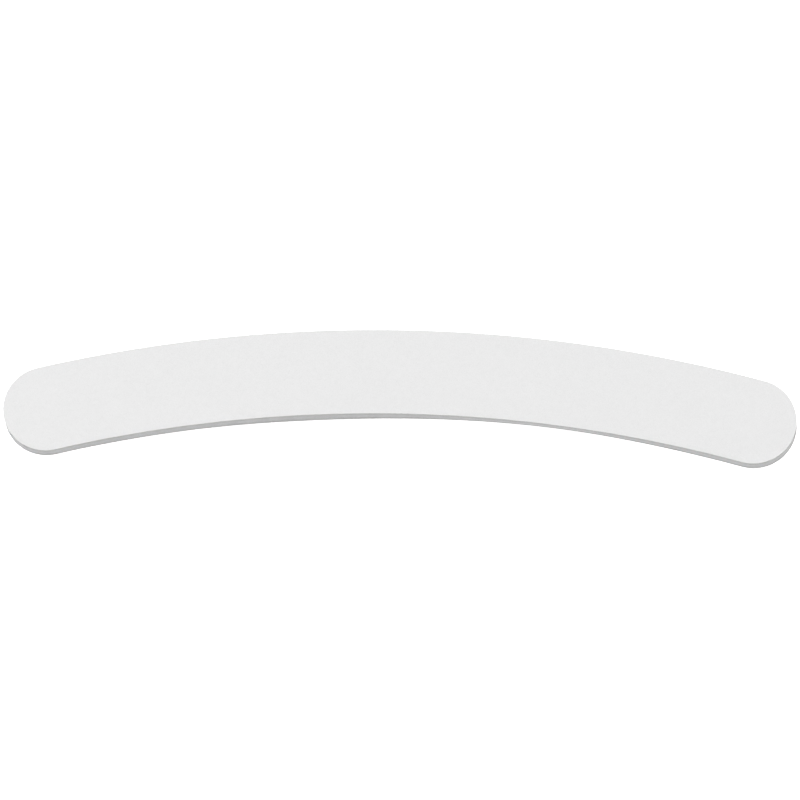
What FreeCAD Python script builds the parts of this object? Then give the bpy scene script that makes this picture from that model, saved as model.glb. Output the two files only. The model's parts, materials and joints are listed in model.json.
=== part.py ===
# Curved cushioned nail buffer: a bonded stack of eleven layers, die-cut to one arched outline.
# Millimetres. X runs along the buffer, Y across it with the convex side towards +Y, and Z through
# the stack. The origin is the centre of the bounding box's underside, where the buffer rests.
import FreeCAD, Part
import math
import os

import Sketcher

# Driving dimensions: alias, value in mm, meaning.
DIMENSIONS = [
    ("overall_length", 178.0, "end to end along X"),
    ("strip_width", 19.4, "between the convex and the concave edge"),
    ("bend_radius", 318.0, "radius of the strip's centreline"),
    ("stack_thickness", 4.0, "all layers together"),
    ("core_thickness", 1.0, "rigid plastic board"),
    ("coat_thickness", 0.15, "abrasive grain, resin and anti-clog coating"),
    ("paper_thickness", 0.2, "abrasive's backing paper"),
    ("film_thickness", 0.05, "pressure-sensitive adhesive film"),
    ("edge_roll", 0.06, "rounding that the cutting die leaves on a coat's outer edge"),
]

CORE = "Dims.core_thickness"
COAT = "Dims.coat_thickness"
PAPER = "Dims.paper_thickness"
FILM = "Dims.film_thickness"
# Each foam cushion takes what the other layers leave of its half of the stack.
FOAM = f"((Dims.stack_thickness - {CORE}) / 2 - {COAT} - {PAPER} - 2 * {FILM})"

# From the table side up: name, thickness, and which of its faces has a rolled edge.
LAYERS = [
    ("bottom_grit_coat", COAT, "lower"),
    ("bottom_backing_paper", PAPER, None),
    ("bottom_paper_adhesive", FILM, None),
    ("bottom_foam_cushion", FOAM, None),
    ("bottom_core_adhesive", FILM, None),
    ("core_board", CORE, None),
    ("top_core_adhesive", FILM, None),
    ("top_foam_cushion", FOAM, None),
    ("top_paper_adhesive", FILM, None),
    ("top_backing_paper", PAPER, None),
    ("top_grit_coat", COAT, "upper"),
]

SIZES = {alias: value for alias, value, _ in DIMENSIONS}
START, END, CENTRE = 1, 2, 3
X_AXIS, Y_AXIS, ORIGIN_POINT = -1, -2, 1


def make_sheet(doc):
    """The spreadsheet of driving dimensions, one row each."""
    sheet = doc.addObject("Spreadsheet::Sheet", "Dims")
    for row, (alias, value, meaning) in enumerate(DIMENSIONS, start=1):
        sheet.set(f"A{row}", alias)
        sheet.set(f"B{row}", str(value))
        sheet.set(f"C{row}", meaning)
        sheet.setAlias(f"B{row}", alias)
    doc.recompute()
    return sheet


def arc(centre, radius, start, end):
    """A counter-clockwise arc between two angles in radians."""
    circle = Part.Circle(centre, FreeCAD.Vector(0, 0, 1), radius)
    return Part.ArcOfCircle(circle, start, end)


def draw_outline(sketch):
    """The die's outline: two concentric arcs joined by a half-round at each end."""
    bend, cap = SIZES["bend_radius"], SIZES["strip_width"] / 2
    half_span = SIZES["overall_length"] / 2 - cap
    spread = math.asin(half_span / bend)
    rise = bend * (1 - math.cos(spread))
    centre = FreeCAD.Vector(0, rise / 2 - bend, 0)
    quarter = math.pi / 2
    right = centre + FreeCAD.Vector(half_span, bend - rise, 0)
    left = centre + FreeCAD.Vector(-half_span, bend - rise, 0)

    convex = sketch.addGeometry(arc(centre, bend + cap, quarter - spread, quarter + spread))
    concave = sketch.addGeometry(arc(centre, bend - cap, quarter - spread, quarter + spread))
    right_end = sketch.addGeometry(arc(right, cap, -quarter - spread, quarter - spread))
    left_end = sketch.addGeometry(arc(left, cap, quarter + spread, 3 * quarter + spread))

    def constrain(*what):
        return sketch.addConstraint(Sketcher.Constraint(*what))

    def dimension(name, expression, *what):
        index = constrain(*what)
        sketch.renameConstraint(index, name)
        sketch.setExpression(f"Constraints.{name}", expression)

    constrain("Coincident", convex, CENTRE, concave, CENTRE)
    constrain("PointOnObject", convex, CENTRE, Y_AXIS)
    constrain("Tangent", convex, START, right_end, END)
    constrain("Tangent", concave, START, right_end, START)
    constrain("Tangent", convex, END, left_end, START)
    constrain("Tangent", concave, END, left_end, END)
    constrain("Horizontal", right_end, CENTRE, left_end, CENTRE)
    dimension(
        "end_radius", "Dims.strip_width / 2",
        "Radius", right_end, cap,
    )
    dimension(
        "convex_radius", "Dims.bend_radius + Dims.strip_width / 2",
        "Radius", convex, bend + cap,
    )
    dimension(
        "end_spacing", "Dims.overall_length - Dims.strip_width",
        "DistanceX", left_end, CENTRE, right_end, CENTRE, 2 * half_span,
    )
    # The bend's centre is placed so that the outline is centred on the origin across the strip:
    # the ends' centres lie as far below the X axis as the centreline's crown lies above it.
    dimension(
        "centre_drop",
        "(Dims.bend_radius + sqrt(Dims.bend_radius ^ 2"
        " - ((Dims.overall_length - Dims.strip_width) / 2) ^ 2)) / 2",
        "DistanceY", convex, CENTRE, X_AXIS, ORIGIN_POINT, bend - rise / 2,
    )


def make_layer(doc, label, thickness, base, rolled):
    """One layer as a body: the outline padded by its thickness, standing on the layers below."""
    body = doc.addObject("PartDesign::Body", label)
    body.Label = label
    ground = next(f for f in body.Origin.OriginFeatures if f.Role == "XY_Plane")
    sketch = body.newObject("Sketcher::SketchObject", f"{label}_outline")
    sketch.AttachmentSupport = [(ground, "")]
    sketch.MapMode = "FlatFace"
    draw_outline(sketch)
    pad = body.newObject("PartDesign::Pad", f"{label}_sheet")
    pad.Profile = sketch
    pad.setExpression("Length", thickness)
    body.setExpression("Placement.Base.z", base)
    doc.recompute()
    if rolled:
        roll_edge(doc, body, pad, rolled)
    return body


def roll_edge(doc, body, pad, side):
    """Rounds the edge of a coat's upper or lower face, all the way round."""
    height = pad.Shape.BoundBox.ZMax if side == "upper" else pad.Shape.BoundBox.ZMin
    names = [
        f"Edge{i}"
        for i, edge in enumerate(pad.Shape.Edges, start=1)
        if all(abs(vertex.Z - height) < 1e-6 for vertex in edge.Vertexes)
    ]
    fillet = body.newObject("PartDesign::Fillet", f"{body.Label}_rolled_edge")
    fillet.Base = (pad, names)
    fillet.setExpression("Radius", "Dims.edge_roll")
    body.Tip = fillet
    doc.recompute()


def build():
    """The whole document: the sheet, then every layer on top of the ones below it."""
    doc = FreeCAD.newDocument("nail_buffer")
    make_sheet(doc)
    layers = []
    base = "0"
    for label, thickness, rolled in LAYERS:
        layers.append(make_layer(doc, label, thickness, base, rolled))
        base = f"{base} + {thickness}"
    doc.recompute()
    return doc, layers


def check(doc, layers):
    """Stops before anything is written if an object failed or a layer isn't one valid solid."""
    for item in doc.Objects:
        if "Invalid" in item.State or "Error" in item.State:
            raise RuntimeError(f"{item.Label} failed: {item.State}")
    for body in layers:
        shape = body.Shape
        if shape.isNull() or not shape.isValid() or len(shape.Solids) != 1:
            raise RuntimeError(f"{body.Label} isn't one valid solid")
        box = shape.optimalBoundingBox()
        print(
            f"{body.Label:24s} z {box.ZMin:6.3f} to {box.ZMax:6.3f}"
            f"  {box.XLength:7.2f} x {box.YLength:6.2f}  {shape.Volume:8.2f} mm3"
        )


document, stack = build()
check(document, stack)
os.makedirs("parts", exist_ok=True)
for layer in stack:
    layer.Shape.exportStep(f"parts/{layer.Label}.step")
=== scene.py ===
import json
import math

import bmesh
import bpy
from mathutils import Matrix, Vector, noise


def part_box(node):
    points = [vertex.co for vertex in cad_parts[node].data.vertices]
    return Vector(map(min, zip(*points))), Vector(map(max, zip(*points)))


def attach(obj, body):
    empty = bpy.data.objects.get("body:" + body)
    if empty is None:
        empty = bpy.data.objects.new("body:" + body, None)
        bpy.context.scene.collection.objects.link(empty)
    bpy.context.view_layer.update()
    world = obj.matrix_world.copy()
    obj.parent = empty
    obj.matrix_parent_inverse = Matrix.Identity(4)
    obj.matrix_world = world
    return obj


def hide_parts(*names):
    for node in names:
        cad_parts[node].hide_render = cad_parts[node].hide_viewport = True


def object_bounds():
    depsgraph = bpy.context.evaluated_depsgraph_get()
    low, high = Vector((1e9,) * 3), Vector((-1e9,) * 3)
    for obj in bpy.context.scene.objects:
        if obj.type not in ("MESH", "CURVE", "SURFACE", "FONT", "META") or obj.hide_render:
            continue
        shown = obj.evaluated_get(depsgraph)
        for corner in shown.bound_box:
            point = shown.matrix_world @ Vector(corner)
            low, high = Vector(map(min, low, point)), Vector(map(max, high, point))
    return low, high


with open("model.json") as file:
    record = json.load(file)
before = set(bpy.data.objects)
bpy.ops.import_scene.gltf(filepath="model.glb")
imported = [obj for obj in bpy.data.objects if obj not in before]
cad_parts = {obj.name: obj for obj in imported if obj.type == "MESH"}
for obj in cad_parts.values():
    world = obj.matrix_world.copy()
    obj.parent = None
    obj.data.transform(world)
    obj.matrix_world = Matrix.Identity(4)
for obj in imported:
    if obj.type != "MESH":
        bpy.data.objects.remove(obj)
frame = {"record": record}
cad_low, cad_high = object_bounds()

MM = 0.001

# ---------------------------------------------------------------- the die's outline, in millimetres
# An arched strip with half-round ends. Its other sizes come from the CAD model's box.
STRIP_WIDTH = 19.4

cap = STRIP_WIDTH / 2
half_span = (cad_high.x - cad_low.x) / MM / 2 - cap
rise = (cad_high.y - cad_low.y) / MM - STRIP_WIDTH
bend = (half_span**2 + rise**2) / (2 * rise)
spread = math.asin(half_span / bend)
bend_centre = Vector((0, cad_high.y / MM - cap - bend, 0))

# Only points this near the cut edge take its marks.
EDGE_ZONE = 0.3

# Edges sharper than this, in degrees, aren't smoothed over.
SHARP_FROM = 55

# How far the foot of the cut stands out on the concave side: the same all along, with a swelling
# left of the middle and a hollow right of it, each given by its height, its middle and its width.
FLARE = 0.14
SWELLING = (0.2, -19, 19)
HOLLOW = (-0.35, 35, 25)


def direction(angle):
    """The unit vector at an angle in the plane of the buffer."""
    return Vector((math.cos(angle), math.sin(angle), 0))


def stations(spacing):
    """(middle point, outward direction) pairs about spacing apart, counter-clockwise."""
    quarter = math.pi / 2
    side = round(2 * spread * bend / spacing)
    turn = round(math.pi * cap / spacing)
    left = bend_centre + bend * direction(quarter + spread)
    right = bend_centre + bend * direction(quarter - spread)
    found = []
    for i in range(side):
        radial = direction(quarter - spread + 2 * spread * i / side)
        found.append((bend_centre + bend * radial, radial))
    for i in range(turn):
        found.append((left, direction(quarter + spread + math.pi * i / turn)))
    for i in range(side):
        radial = direction(quarter + spread - 2 * spread * i / side)
        found.append((bend_centre + bend * radial, -radial))
    for i in range(turn):
        found.append((right, direction(-quarter - spread + math.pi * i / turn)))
    return found


def weld_middle(mesh, rows):
    """Joins the first and the last point of every station to the others on the same spot."""
    shape = bmesh.new()
    shape.from_mesh(mesh)
    ends = [v for v in shape.verts if v.index % rows in (0, rows - 1)]
    bmesh.ops.remove_doubles(shape, verts=ends, dist=1e-7)
    shape.to_mesh(mesh)
    shape.free()


def hill(value, height, middle, width):
    """A smooth hill, or with a height below zero a smooth dip."""
    return height * math.exp(-(((value - middle) / width) ** 2))


def flare(point, outward):
    """How far the cut stands out at a point, where the die dragged the stack as it went down."""
    at_foot = FLARE + hill(point.x, *SWELLING) + hill(point.x, *HOLLOW)
    depth = 1 - point.z * MM / cad_high.z
    return at_foot * depth**2 * max(0.0, -outward.y)


def sweep(name, profile, spacing, relief):
    """A closed sheet with the die's outline.

    profile holds (inset, height) points from the middle of the underside, round the cut edge and
    back to the middle of the upper face. relief says how far a point is pushed in from the edge
    and down from the face.
    """
    points = []
    loop = stations(spacing)
    for middle, outward in loop:
        for inset, height in profile:
            point = middle + (cap - inset) * outward + Vector((0, 0, height))
            push_in, push_down = relief(point, inset)
            if inset < EDGE_ZONE:
                push_in -= flare(point, outward)
            points.append((point - outward * push_in - Vector((0, 0, push_down))) * MM)
    rows = len(profile)
    faces = []
    for i in range(len(loop)):
        this, following = i * rows, (i + 1) % len(loop) * rows
        for j in range(rows - 1):
            faces.append((this + j, following + j, following + j + 1, this + j + 1))
    mesh = bpy.data.meshes.new(name)
    mesh.from_pydata(points, [], faces)
    weld_middle(mesh, rows)
    mesh.shade_smooth()
    mesh.set_sharp_from_angle(angle=math.radians(SHARP_FROM))
    piece = bpy.data.objects.new(name, mesh)
    bpy.context.scene.collection.objects.link(piece)
    return piece


# ---------------------------------------------------------------- heights, in millimetres
def levels(node):
    """The lowest and the highest height of a CAD node."""
    low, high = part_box(node)
    return low.z / MM, high.z / MM


UPPER_FACE = levels("top_grit_coat")[1]
LOWER_FACE = levels("bottom_grit_coat")[0]


# ---------------------------------------------------------------- surface relief, in millimetres
def smooth_step(value):
    """0 below 0, 1 above 1, and a smooth rise between."""
    value = max(0.0, min(1.0, value))
    return value * value * (3 - 2 * value)


def ripple(point, size):
    """Soft noise from -1 to 1 whose lumps are about size across."""
    return noise.noise(point / size)


def pits(point, size, radius):
    """1 at the middle of a scattered round pit, 0 outside it."""
    nearest = noise.voronoi(point / size)[0][0]
    return smooth_step(1 - nearest / radius)


def foam_relief(point, inset):
    """Cells that the die cut open, with slow waves where it dragged the foam."""
    if inset > EDGE_ZONE:
        return 0, 0
    cells = 0.05 * pits(point, 0.34, 0.5)
    drag = 0.012 * ripple(point, 1.6)
    return cells + drag, 0


def core_relief(point, inset):
    """Fine marks down the edge of the board, as the blade's nicks leave them."""
    if inset > EDGE_ZONE:
        return 0, 0
    drawn_out = Vector((point.x, point.y, point.z * 0.15))
    nicks = 0.01 * ripple(drawn_out, 0.25)
    sway = 0.006 * ripple(point, 2.5)
    return nicks + sway, 0


def paper_relief(point, inset):
    """Fibres that stand out of the cut edge or are torn back a little."""
    if inset > EDGE_ZONE:
        return 0, 0
    fibres = 0.016 * ripple(point, 0.14)
    tears = 0.01 * ripple(point, 0.5)
    return fibres + tears, 0


def film_relief(point, inset):
    """Adhesive that has crept out in places and stays back in others."""
    if inset > EDGE_ZONE:
        return 0, 0
    creep = 0.035 * smooth_step(ripple(point, 0.9) * 2)
    return 0.01 - creep, 0


def grit_relief(top_side):
    """The relief of an abrasive coat whose free face is its upper or its lower one."""
    face = UPPER_FACE if top_side else LOWER_FACE

    def relief(point, inset):
        push_in = 0.0
        if inset < EDGE_ZONE:
            crumbled = 0.05 * pits(point, 0.45, 0.42)
            ragged = 0.012 * ripple(point, 0.16)
            push_in = crumbled + ragged
        if abs(point.z - face) > 1e-6:
            return push_in, 0
        waves = 0.006 * (1 + ripple(point, 2.2)) + 0.004 * (1 + ripple(point, 0.7))
        return push_in, waves if top_side else -waves

    return relief


# ---------------------------------------------------------------- profiles, in millimetres
# How far in from the edge a glued face has its points: few, because nobody sees them.
HIDDEN_RINGS = [cap, 6.0, 3.0, 1.2, 0.4]

# Steps round the quarter circle of a coat's rolled rim.
RIM_STEPS = 4


def lerp(start, end, share):
    """The number that is share of the way from start to end."""
    return start + (end - start) * share


def cut_edge(low, high, rows, bow=0.0):
    """Points up a cut edge, dished in by bow at half height."""
    shares = [i / rows for i in range(rows + 1)]
    return [(bow * 4 * t * (1 - t), lerp(low, high, t)) for t in shares]


def bonded_sheet(low, high, rows, bow=0.0):
    """The profile of a layer whose two faces are glued to its neighbours."""
    under = [(inset, low) for inset in HIDDEN_RINGS]
    over = [(inset, high) for inset in reversed(HIDDEN_RINGS)]
    return under + cut_edge(low, high, rows, bow) + over


def coat_sheet(low, high, top_side, roll=0.06, ring_step=0.3):
    """The profile of an abrasive coat: one glued face, one free face with a rolled rim."""
    rings = round((cap - roll) / ring_step)
    face = [lerp(roll, cap, i / rings) for i in range(1, rings + 1)]
    angles = [math.pi / 2 * i / RIM_STEPS for i in range(RIM_STEPS, -1, -1)]
    rim = [(roll * (1 - math.sin(a)), roll * (1 - math.cos(a))) for a in angles]
    if top_side:
        edge = [(0.0, low), (0.0, lerp(low, high, 0.3))]
        rolled = [(inset, high - drop) for inset, drop in rim]
        hidden = [(inset, low) for inset in HIDDEN_RINGS]
        return hidden + edge + rolled + [(inset, high) for inset in face]
    edge = [(0.0, lerp(low, high, 0.7)), (0.0, high)]
    rolled = [(inset, low + drop) for inset, drop in reversed(rim)]
    hidden = [(inset, high) for inset in reversed(HIDDEN_RINGS)]
    return [(inset, low) for inset in reversed(face)] + rolled + edge + hidden


# ---------------------------------------------------------------- materials
PER_MM = 1000.0


def start_material(name, **settings):
    """A material with its shader's plain sockets set; returns it, its tree and its shader."""
    material = bpy.data.materials.new(name)
    material.use_nodes = True
    shader = material.node_tree.nodes["Principled BSDF"]
    for socket, value in settings.items():
        shader.inputs[socket.replace("_", " ")].default_value = value
    return material, material.node_tree, shader


def place(tree, scale=(1, 1, 1)):
    """The object's own coordinates. A scale below 1 draws a pattern out, one above 1 flattens it."""
    mapping = tree.nodes.new("ShaderNodeMapping")
    mapping.inputs["Scale"].default_value = scale
    source = tree.nodes.new("ShaderNodeTexCoord").outputs["Object"]
    tree.links.new(source, mapping.inputs["Vector"])
    return mapping.outputs["Vector"]


def clouds(tree, vector, size, detail=2.0, roughness=0.5):
    """Noise whose lumps are about size millimetres across."""
    node = tree.nodes.new("ShaderNodeTexNoise")
    node.inputs["Scale"].default_value = PER_MM / size
    node.inputs["Detail"].default_value = detail
    node.inputs["Roughness"].default_value = roughness
    tree.links.new(vector, node.inputs["Vector"])
    return node.outputs["Fac"]


def cells(tree, vector, size):
    """A Voronoi node whose scattered cells are about size millimetres across."""
    node = tree.nodes.new("ShaderNodeTexVoronoi")
    node.inputs["Scale"].default_value = PER_MM / size
    tree.links.new(vector, node.inputs["Vector"])
    return node


def vector_math(tree, operation, first, second):
    """A vector node of two inputs, either of them an output or a plain vector."""
    node = tree.nodes.new("ShaderNodeVectorMath")
    node.operation = operation
    for socket, value in zip(node.inputs, (first, second)):
        if isinstance(value, tuple):
            socket.default_value = value
        else:
            tree.links.new(value, socket)
    return node


def facets(tree, vector, grains):
    """A height, in metres, that gives every cell a flat top with a tilt of its own."""
    offset = vector_math(tree, "SUBTRACT", vector, grains.outputs["Position"])
    tilt = vector_math(tree, "SUBTRACT", grains.outputs["Color"], (0.5, 0.5, 0.5))
    across, slope = offset.outputs["Vector"], tilt.outputs["Vector"]
    return vector_math(tree, "DOT_PRODUCT", across, slope).outputs["Value"]


def remap(tree, value, low, high, to_low, to_high):
    """value from low..high carried over to to_low..to_high."""
    node = tree.nodes.new("ShaderNodeMapRange")
    for socket, number in zip(node.inputs[1:5], (low, high, to_low, to_high)):
        socket.default_value = number
    tree.links.new(value, node.inputs["Value"])
    return node.outputs["Result"]


def tones(tree, value, dark, light, low=0.0, high=1.0):
    """A grey or tinted colour between dark and light as value goes from low to high."""
    ramp = tree.nodes.new("ShaderNodeValToRGB")
    first, last = ramp.color_ramp.elements
    first.position, last.position = low, high
    first.color, last.color = (*dark, 1), (*light, 1)
    tree.links.new(value, ramp.inputs["Fac"])
    return ramp.outputs["Color"]


def times(tree, first, second):
    """Two colours multiplied."""
    node = tree.nodes.new("ShaderNodeMix")
    node.data_type, node.blend_type = "RGBA", "MULTIPLY"
    node.inputs["Factor"].default_value = 1.0
    tree.links.new(first, node.inputs[6])
    tree.links.new(second, node.inputs[7])
    return node.outputs[2]


def bump(tree, height, depth, under=None):
    """A bump of depth millimetres, over another bump if one is given."""
    node = tree.nodes.new("ShaderNodeBump")
    node.inputs["Distance"].default_value = depth * MM
    tree.links.new(height, node.inputs["Height"])
    if under:
        tree.links.new(under, node.inputs["Normal"])
    return node.outputs["Normal"]


def finish_material(tree, shader, colour, roughness, normal):
    """Links a material's three varying inputs to its shader."""
    tree.links.new(colour, shader.inputs["Base Color"])
    tree.links.new(roughness, shader.inputs["Roughness"])
    tree.links.new(normal, shader.inputs["Normal"])


def grit_material():
    """Angular grains of about 0.1 mm under a white coat, each with its own tilt and tone, and darker
    towards their edges with painted shade.
    """
    material, tree, shader = start_material("coated_grit", Specular_IOR_Level=0.35)
    here = place(tree)
    grains = cells(tree, here, 0.1)
    from_middle, each_grain = grains.outputs["Distance"], grains.outputs["Color"]
    powder = clouds(tree, here, 0.9, detail=4)
    drift = clouds(tree, here, 9.0)
    # Painted shade: the colour darkens towards each grain's edge, where the bump below sinks the
    # grains into crevices.
    colour = tones(tree, from_middle, (0.9,) * 3, (0.835,) * 3, 0.3, 0.8)
    colour = times(tree, colour, tones(tree, each_grain, (0.97,) * 3, (1, 1, 1), 0.2, 0.5))
    colour = times(tree, colour, tones(tree, powder, (0.985,) * 3, (1, 1, 1), 0.3, 0.6))
    colour = times(tree, colour, tones(tree, drift, (0.995,) * 3, (1, 1, 1), 0.35, 0.65))
    roughness = remap(tree, each_grain, 0.2, 0.8, 0.5, 0.95)
    # The facets are heights in metres already, so their bump only says how steep they are.
    steepness = 0.2
    normal = bump(tree, facets(tree, here, grains), steepness * PER_MM)
    normal = bump(tree, from_middle, -0.01, under=normal)
    normal = bump(tree, powder, 0.012, under=normal)
    finish_material(tree, shader, colour, roughness, normal)
    return material


def paper_material():
    """Pale grey latex paper seen at its cut edge: short fibres lying in the sheet."""
    material, tree, shader = start_material("latex_paper", Specular_IOR_Level=0.25)
    here = place(tree, scale=(1, 1, 4))
    fibres = clouds(tree, here, 0.12, detail=4, roughness=0.65)
    pulp = clouds(tree, here, 1.1)
    colour = tones(tree, fibres, (0.485, 0.485, 0.48), (0.6, 0.6, 0.59), 0.3, 0.7)
    colour = times(tree, colour, tones(tree, pulp, (0.96,) * 3, (1, 1, 1), 0.3, 0.7))
    roughness = remap(tree, fibres, 0.3, 0.7, 0.95, 0.8)
    finish_material(tree, shader, colour, roughness, bump(tree, fibres, 0.02))
    return material


def film_material():
    """Clear acrylic adhesive, glossy where it has crept out and dusty elsewhere."""
    material, tree, shader = start_material("adhesive", Specular_IOR_Level=0.5, IOR=1.47)
    here = place(tree)
    dust = clouds(tree, here, 0.5, detail=3)
    colour = tones(tree, dust, (0.6, 0.6, 0.58), (0.72, 0.72, 0.7), 0.35, 0.65)
    roughness = remap(tree, dust, 0.35, 0.65, 0.2, 0.55)
    finish_material(tree, shader, colour, roughness, bump(tree, dust, 0.01))
    return material


def foam_material():
    """Closed-cell foam with its cells cut open: pale walls, and hollows darkened with painted shade.
    """
    material, tree, shader = start_material("eva_foam", Specular_IOR_Level=0.3)
    here = place(tree)
    hollows = cells(tree, here, 0.17).outputs["Distance"]
    mottle = clouds(tree, here, 1.4, detail=3)
    # Painted shade: the colour is darkest at the middle of each cut-open cell, where the bump sinks
    # it.
    colour = tones(tree, hollows, (0.445,) * 3, (0.56,) * 3, 0.05, 0.6)
    colour = times(tree, colour, tones(tree, mottle, (0.95,) * 3, (1, 1, 1), 0.3, 0.7))
    roughness = remap(tree, hollows, 0.0, 0.6, 0.95, 0.75)
    normal = bump(tree, hollows, 0.035)
    finish_material(tree, shader, colour, roughness, normal)
    return material


def core_material():
    """Pale grey polystyrene board, satin where the blade sheared it, with fine drag lines."""
    material, tree, shader = start_material("core_plastic", Specular_IOR_Level=0.5, IOR=1.59)
    streaks = clouds(tree, place(tree, scale=(1, 1, 0.12)), 0.09, detail=3)
    haze = clouds(tree, place(tree), 2.0, detail=3)
    colour = tones(tree, streaks, (0.465, 0.465, 0.47), (0.545, 0.545, 0.55), 0.3, 0.7)
    colour = times(tree, colour, tones(tree, haze, (0.96,) * 3, (1, 1, 1), 0.3, 0.7))
    roughness = remap(tree, streaks, 0.3, 0.7, 0.35, 0.6)
    finish_material(tree, shader, colour, roughness, bump(tree, streaks, 0.012))
    return material


# ---------------------------------------------------------------- the eleven layers
materials = {
    "grit_coat": grit_material(),
    "backing_paper": paper_material(),
    "adhesive_film": film_material(),
    "foam": foam_material(),
    "core_plastic": core_material(),
}


def build_layer(node, slot):
    """The detailed piece that stands for one CAD layer, with points as close as its marks need."""
    low, high = levels(node)
    name = f"{node}_cut"
    if slot == "grit_coat":
        top_side = node.startswith("top")
        profile = coat_sheet(low, high, top_side)
        return sweep(name, profile, spacing=0.3, relief=grit_relief(top_side))
    if slot == "backing_paper":
        profile = bonded_sheet(low, high, rows=4)
        return sweep(name, profile, spacing=0.1, relief=paper_relief)
    if slot == "adhesive_film":
        profile = bonded_sheet(low, high, rows=2)
        return sweep(name, profile, spacing=0.2, relief=film_relief)
    if slot == "foam":
        profile = bonded_sheet(low, high, rows=12, bow=0.06)
        piece = sweep(name, profile, spacing=0.12, relief=foam_relief)
        return piece
    profile = bonded_sheet(low, high, rows=10)
    return sweep(name, profile, spacing=0.15, relief=core_relief)


for part in frame["record"]["subparts"]:
    piece = build_layer(part["node"], part["material_slot"])
    piece.data.materials.append(materials[part["material_slot"]])
    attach(piece, "root")
    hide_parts(part["node"])


# ---------------------------------------------------------------- floor, lights and camera
def make_floor():
    """A large white table, lit from below like a light table so that it stays free of shadow."""
    half = 40.0
    gap = 0.00002
    mesh = bpy.data.meshes.new("floor")
    corners = [(-half, -half, 0), (half, -half, 0), (half, half, 0), (-half, half, 0)]
    mesh.from_pydata(corners, [], [(0, 1, 2, 3)])
    floor = bpy.data.objects.new("floor", mesh)
    floor.location.z = -gap
    bpy.context.scene.collection.objects.link(floor)
    material, _, _ = start_material(
        "light_table", Roughness=0.9, Specular_IOR_Level=0.2, Emission_Strength=0.64,
        Emission_Color=(1, 1, 1, 1), Base_Color=(0.9, 0.9, 0.9, 1))
    mesh.materials.append(material)


def aimed(name, data, location):
    """A lamp at location that shines towards the buffer."""
    lamp = bpy.data.objects.new(name, data)
    lamp.location = location
    lamp.rotation_mode = "QUATERNION"
    lamp.rotation_quaternion = (-lamp.location).to_track_quat("-Z", "Y")
    bpy.context.scene.collection.objects.link(lamp)


def make_lights():
    """One very wide soft light overhead, leaning a little back, and a weak softbox on the left."""
    ceiling = bpy.data.lights.new("ceiling", "SUN")
    ceiling.energy, ceiling.angle = 2.84, math.radians(50)
    aimed("ceiling", ceiling, (-0.02, 0.12, 1.0))
    side = bpy.data.lights.new("side_softbox", "AREA")
    side.shape, side.size, side.energy = "DISK", 0.3, 0.05
    aimed("side_softbox", side, (-0.35, 0.05, 0.25))


def make_world():
    """A dim room whose walls turn white near the horizon, as a studio's paper sweep does."""
    world = bpy.data.worlds.new("studio")
    world.use_nodes = True
    tree = world.node_tree
    split = tree.nodes.new("ShaderNodeSeparateXYZ")
    seen = tree.nodes.new("ShaderNodeTexCoord").outputs["Generated"]
    tree.links.new(seen, split.inputs["Vector"])
    background = tree.nodes["Background"]
    background.inputs["Color"].default_value = (1, 1, 1, 1)
    # Between these heights of the direction looked in, the white gives way to the dim.
    low, high = 0.05, 0.12
    white, dim = 1.05, 0.06
    strength = remap(tree, split.outputs["Z"], low, high, white, dim)
    tree.links.new(strength, background.inputs["Strength"])
    bpy.context.scene.world = world


def make_camera():
    """A long lens almost overhead, a little from the concave side."""
    azimuth, elevation, roll = (math.radians(a) for a in (11.28, 74.62, -9.84))
    aim = Vector((0.00013, -0.00157, cad_high.z))
    distance = 2.0
    back = Vector((math.sin(azimuth) * math.cos(elevation),
                   -math.cos(azimuth) * math.cos(elevation),
                   math.sin(elevation)))
    level = Vector((math.cos(azimuth), math.sin(azimuth), 0))
    turn = Matrix.Rotation(roll, 3, back)
    right, up = turn @ level, turn @ back.cross(level)
    data = bpy.data.cameras.new("camera")
    data.lens, data.sensor_width = 401.7, 36
    data.clip_start, data.clip_end = 0.01, 200
    camera = bpy.data.objects.new("camera", data)
    camera.matrix_world = Matrix.Translation(aim + distance * back) @ Matrix(
        (right, up, back)).transposed().to_4x4()
    bpy.context.scene.collection.objects.link(camera)
    bpy.context.scene.camera = camera


make_floor()
make_lights()
make_world()
make_camera()
bpy.context.scene.view_settings.view_transform = "Standard"
